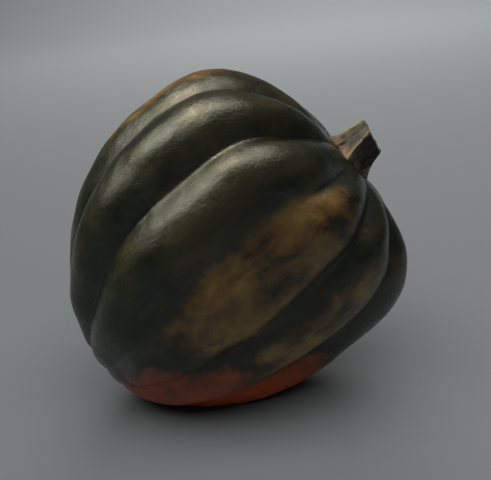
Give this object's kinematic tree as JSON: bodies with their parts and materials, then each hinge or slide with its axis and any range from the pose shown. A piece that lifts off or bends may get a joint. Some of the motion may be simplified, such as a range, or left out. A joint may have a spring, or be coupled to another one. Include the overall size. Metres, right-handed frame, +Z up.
{
  "type": "acorn squash",
  "caption": "Ribbed dark green acorn squash with an orange ground spot and a short woody cut stem, lying on its side with the stem end raised.",
  "frame": {"origin": "on the surface the squash lies on, under the middle of its bounding box", "axes": "+Z up; the stem axis rises 36 degrees from level towards +X, and the ground spot faces -Z"},
  "size_m": [0.13, 0.1226, 0.1268],
  "materials": {
    "rind": "hard waxy rind, near-black green with brown-orange mottling and an orange ground spot, satin to glossy",
    "woody_stem": "dry grey-brown corky stem with ridges, paler on its cut top, matte"
  },
  "bodies": {
    "root": {"fruit": "rind", "stem": "woody_stem"}
  },
  "joints": []
}
